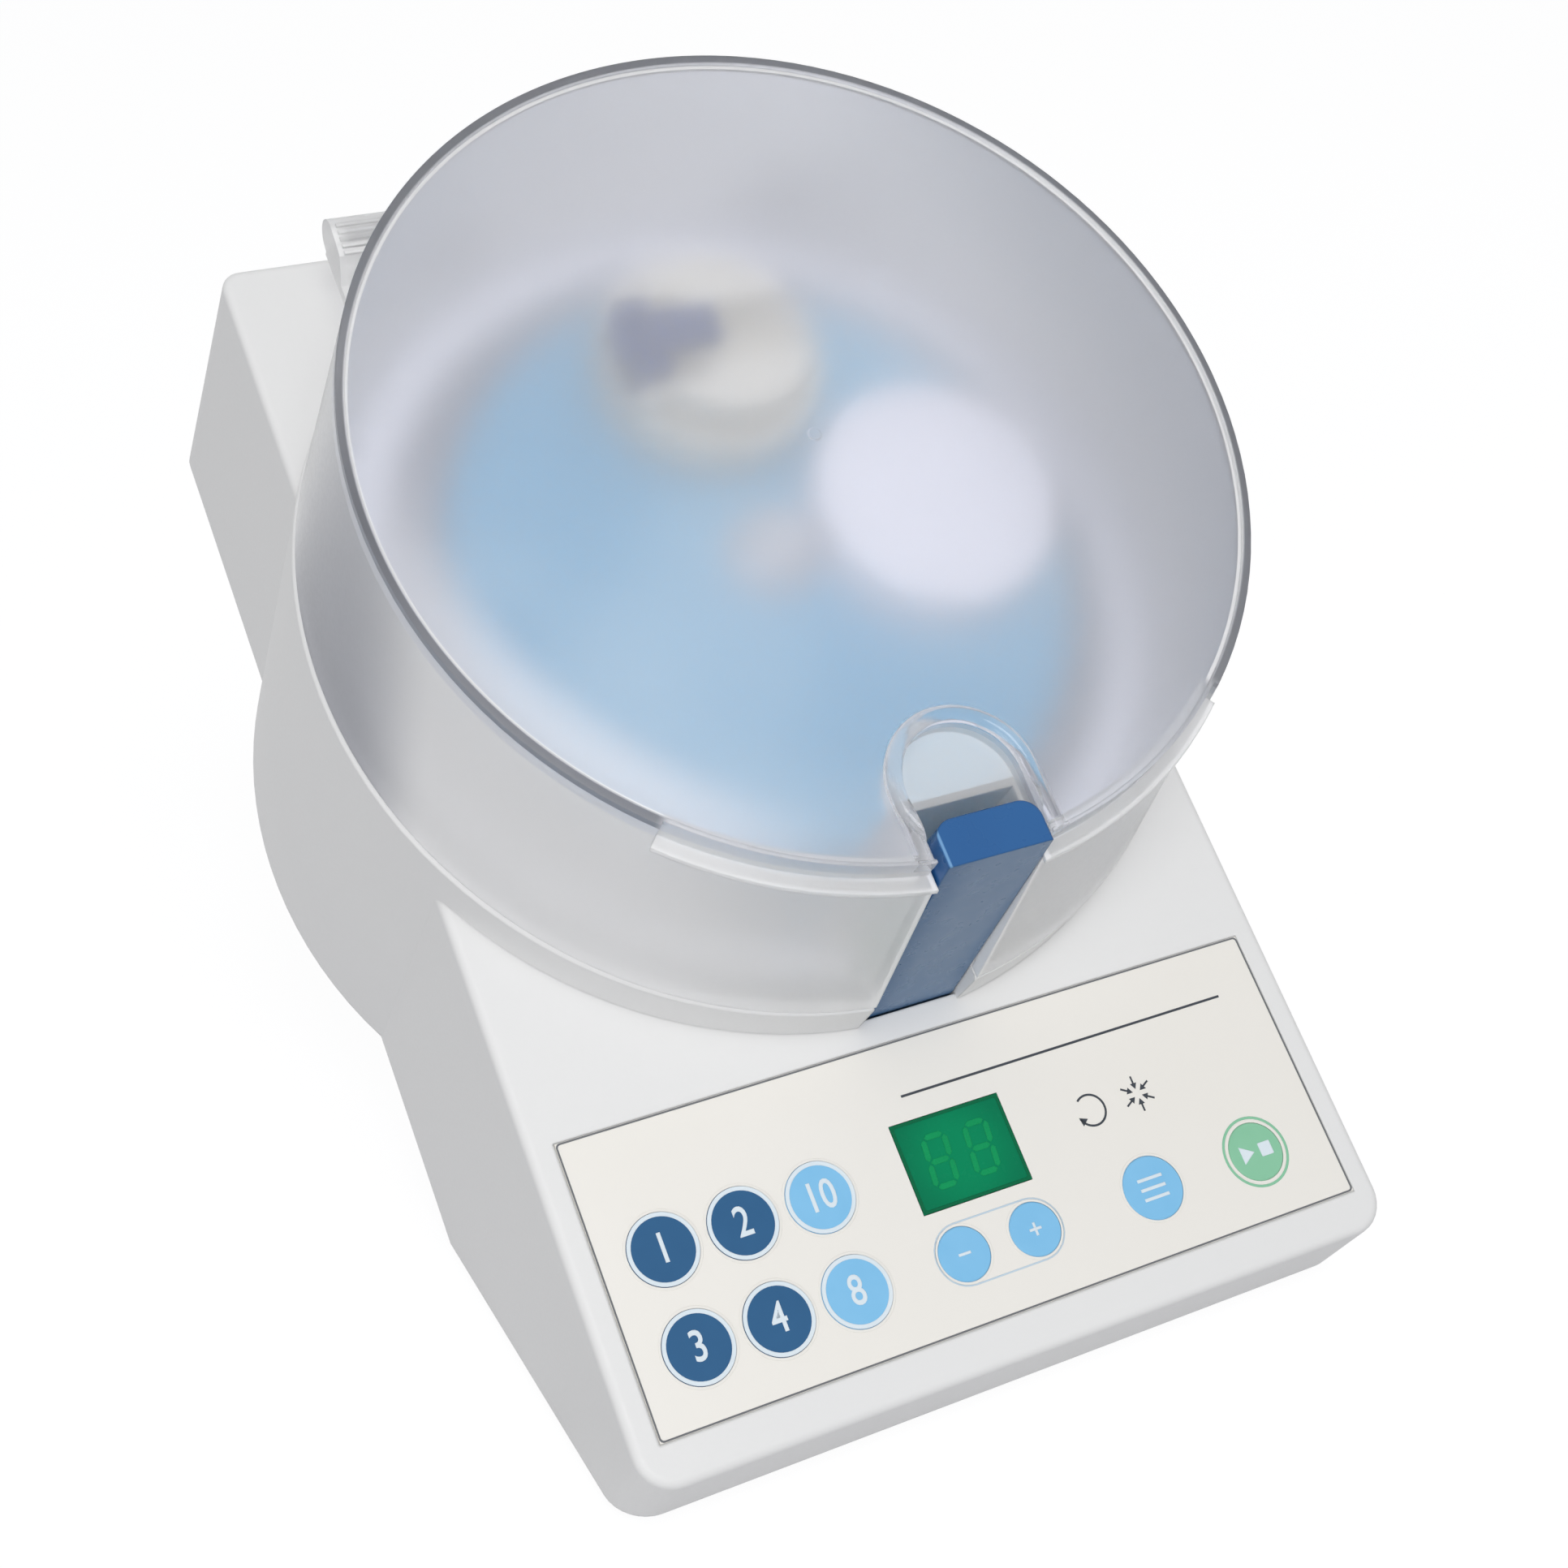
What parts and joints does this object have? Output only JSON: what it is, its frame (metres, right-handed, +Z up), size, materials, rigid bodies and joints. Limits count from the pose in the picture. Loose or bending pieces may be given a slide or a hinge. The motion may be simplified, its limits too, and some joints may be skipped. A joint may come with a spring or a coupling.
{
  "type": "dental amalgamator",
  "caption": "Table-top capsule mixer: sloping white body with keypad and display, frosted drum lid with blue latch, and a spinning rotor with capsule cradle.",
  "frame": {"origin": "middle of the object's box on the surface that it stands on", "axes": "+Z up, +X to the user's right, +Y away from the user"},
  "size_m": [0.171, 0.2372, 0.2112],
  "materials": {
    "white_shell": "fine moulded texture",
    "bowl_liner": "smooth moulded",
    "seal_rubber": "moulded rubber",
    "frosted_clear": "frosted clear polycarbonate",
    "blue_latch": "satin moulded",
    "steel": "turned steel",
    "pale_blue_rotor": "smooth moulded",
    "white_weight": "smooth moulded",
    "cream_cradle": "smooth moulded",
    "dark_blue_clip": "smooth moulded",
    "dark_pulley": "moulded",
    "belt_rubber": "matt rubber",
    "zinc_can": "zinc plated",
    "copper_winding": "enamelled copper wire",
    "laminated_steel": "stacked steel sheets",
    "cream_foil": "printed polyester foil",
    "key_dark_blue": "printed foil key",
    "key_sky_blue": "printed foil key",
    "key_green": "printed foil key",
    "green_window": "tinted clear filter",
    "black_plastic": "moulded",
    "board_green": "solder resist",
    "contact_brass": "plated",
    "drawer_grey": "moulded",
    "rocker_black": "moulded"
  },
  "bodies": {
    "root": {"housing": "white_shell", "base_plate": "white_shell", "stand": "white_shell", "bowl": "bowl_liner", "collar_seal": "seal_rubber", "feet": "seal_rubber", "motor_mounts": "seal_rubber", "latch_pin": "steel", "latch_spring": "steel", "motor_bearings": "steel", "motor_plate": "steel", "motor_screws": "steel", "board_screws": "steel", "transformer_screws": "steel", "case_screws": "steel", "stand_screws": "steel", "fixed_pulley": "dark_pulley", "motor_can": "zinc_can", "motor_stator": "copper_winding", "transformer": "laminated_steel", "keypad_foil": "cream_foil", "display_window": "green_window", "lid_switch": "black_plastic", "display_module": "black_plastic", "key_switches": "black_plastic", "mains_inlet": "black_plastic", "switch_frame": "black_plastic", "control_board": "board_green", "inlet_pins": "contact_brass", "fuse_drawer": "drawer_grey"},
    "lid": {"lid": "frosted_clear", "hinge_pins": "steel"},
    "latch": {"latch": "blue_latch"},
    "rotor": {"rotor_disc": "pale_blue_rotor", "rotor_hub": "steel", "hub_nut": "steel", "counterweight": "white_weight", "motor_shaft": "steel", "motor_armature": "laminated_steel", "spindle_bearing": "steel", "drive_belt": "belt_rubber"},
    "cradle": {"cradle": "cream_cradle", "cradle_spindle": "steel", "cradle_pulley": "dark_pulley", "clip_pin": "steel"},
    "clip": {"clip": "dark_blue_clip"},
    "rocker": {"rocker": "rocker_black"},
    "key_program_1": {"key_program_1": "key_dark_blue"},
    "key_program_2": {"key_program_2": "key_dark_blue"},
    "key_program_3": {"key_program_3": "key_dark_blue"},
    "key_program_4": {"key_program_4": "key_dark_blue"},
    "key_time_10": {"key_time_10": "key_sky_blue"},
    "key_time_8": {"key_time_8": "key_sky_blue"},
    "key_minus": {"key_minus": "key_sky_blue"},
    "key_plus": {"key_plus": "key_sky_blue"},
    "key_mode": {"key_mode": "key_sky_blue"},
    "key_start": {"key_start": "key_green"}
  },
  "joints": [
    {"name": "lid_hinge", "type": "hinge", "parent": "root", "child": "lid", "pos_m": [0, 0.05027, 0.18002], "axis": [-1, 0, 0], "range_deg": [0, 95]},
    {"name": "latch_hinge", "type": "hinge", "parent": "root", "child": "latch", "pos_m": [0, -0.05841, 0.05332], "axis": [-1, 0, 0], "range_deg": [0, 3.5], "stiffness_Nm_per_rad": 1},
    {"name": "rotor_spin", "type": "hinge", "parent": "root", "child": "rotor", "pos_m": [0, -0.00546, 0.11342], "axis": [0, -0.6428, 0.766], "continuous": true},
    {"name": "cradle_spin", "type": "hinge", "parent": "rotor", "child": "cradle", "pos_m": [0, 0.02365, 0.13785], "axis": [0, -0.6428, 0.766], "continuous": true},
    {"name": "clip_hinge", "type": "hinge", "parent": "cradle", "child": "clip", "pos_m": [-0.016, 0.00231, 0.16328], "axis": [0, -0.766, -0.6428], "range_deg": [0, 60]},
    {"name": "rocker_tip", "type": "hinge", "parent": "root", "child": "rocker", "pos_m": [-0.03, 0.06688, 0.036], "axis": [-1, 0, 0], "range_deg": [0, 16]},
    {"name": "key_program_1_press", "type": "slide", "parent": "root", "child": "key_program_1", "axis": [0, 0.6428, -0.766], "range_m": [0, 0.0005], "stiffness_N_per_m": 1500},
    {"name": "key_program_2_press", "type": "slide", "parent": "root", "child": "key_program_2", "axis": [0, 0.6428, -0.766], "range_m": [0, 0.0005], "stiffness_N_per_m": 1500},
    {"name": "key_program_3_press", "type": "slide", "parent": "root", "child": "key_program_3", "axis": [0, 0.6428, -0.766], "range_m": [0, 0.0005], "stiffness_N_per_m": 1500},
    {"name": "key_program_4_press", "type": "slide", "parent": "root", "child": "key_program_4", "axis": [0, 0.6428, -0.766], "range_m": [0, 0.0005], "stiffness_N_per_m": 1500},
    {"name": "key_time_10_press", "type": "slide", "parent": "root", "child": "key_time_10", "axis": [0, 0.6428, -0.766], "range_m": [0, 0.0005], "stiffness_N_per_m": 1500},
    {"name": "key_time_8_press", "type": "slide", "parent": "root", "child": "key_time_8", "axis": [0, 0.6428, -0.766], "range_m": [0, 0.0005], "stiffness_N_per_m": 1500},
    {"name": "key_minus_press", "type": "slide", "parent": "root", "child": "key_minus", "axis": [0, 0.6428, -0.766], "range_m": [0, 0.0005], "stiffness_N_per_m": 1500},
    {"name": "key_plus_press", "type": "slide", "parent": "root", "child": "key_plus", "axis": [0, 0.6428, -0.766], "range_m": [0, 0.0005], "stiffness_N_per_m": 1500},
    {"name": "key_mode_press", "type": "slide", "parent": "root", "child": "key_mode", "axis": [0, 0.6428, -0.766], "range_m": [0, 0.0005], "stiffness_N_per_m": 1500},
    {"name": "key_start_press", "type": "slide", "parent": "root", "child": "key_start", "axis": [0, 0.6428, -0.766], "range_m": [0, 0.0005], "stiffness_N_per_m": 1500}
  ],
  "couplings": [
    {"joint": "cradle_spin", "follows": "rotor_spin", "ratio": -1.3333}
  ]
}
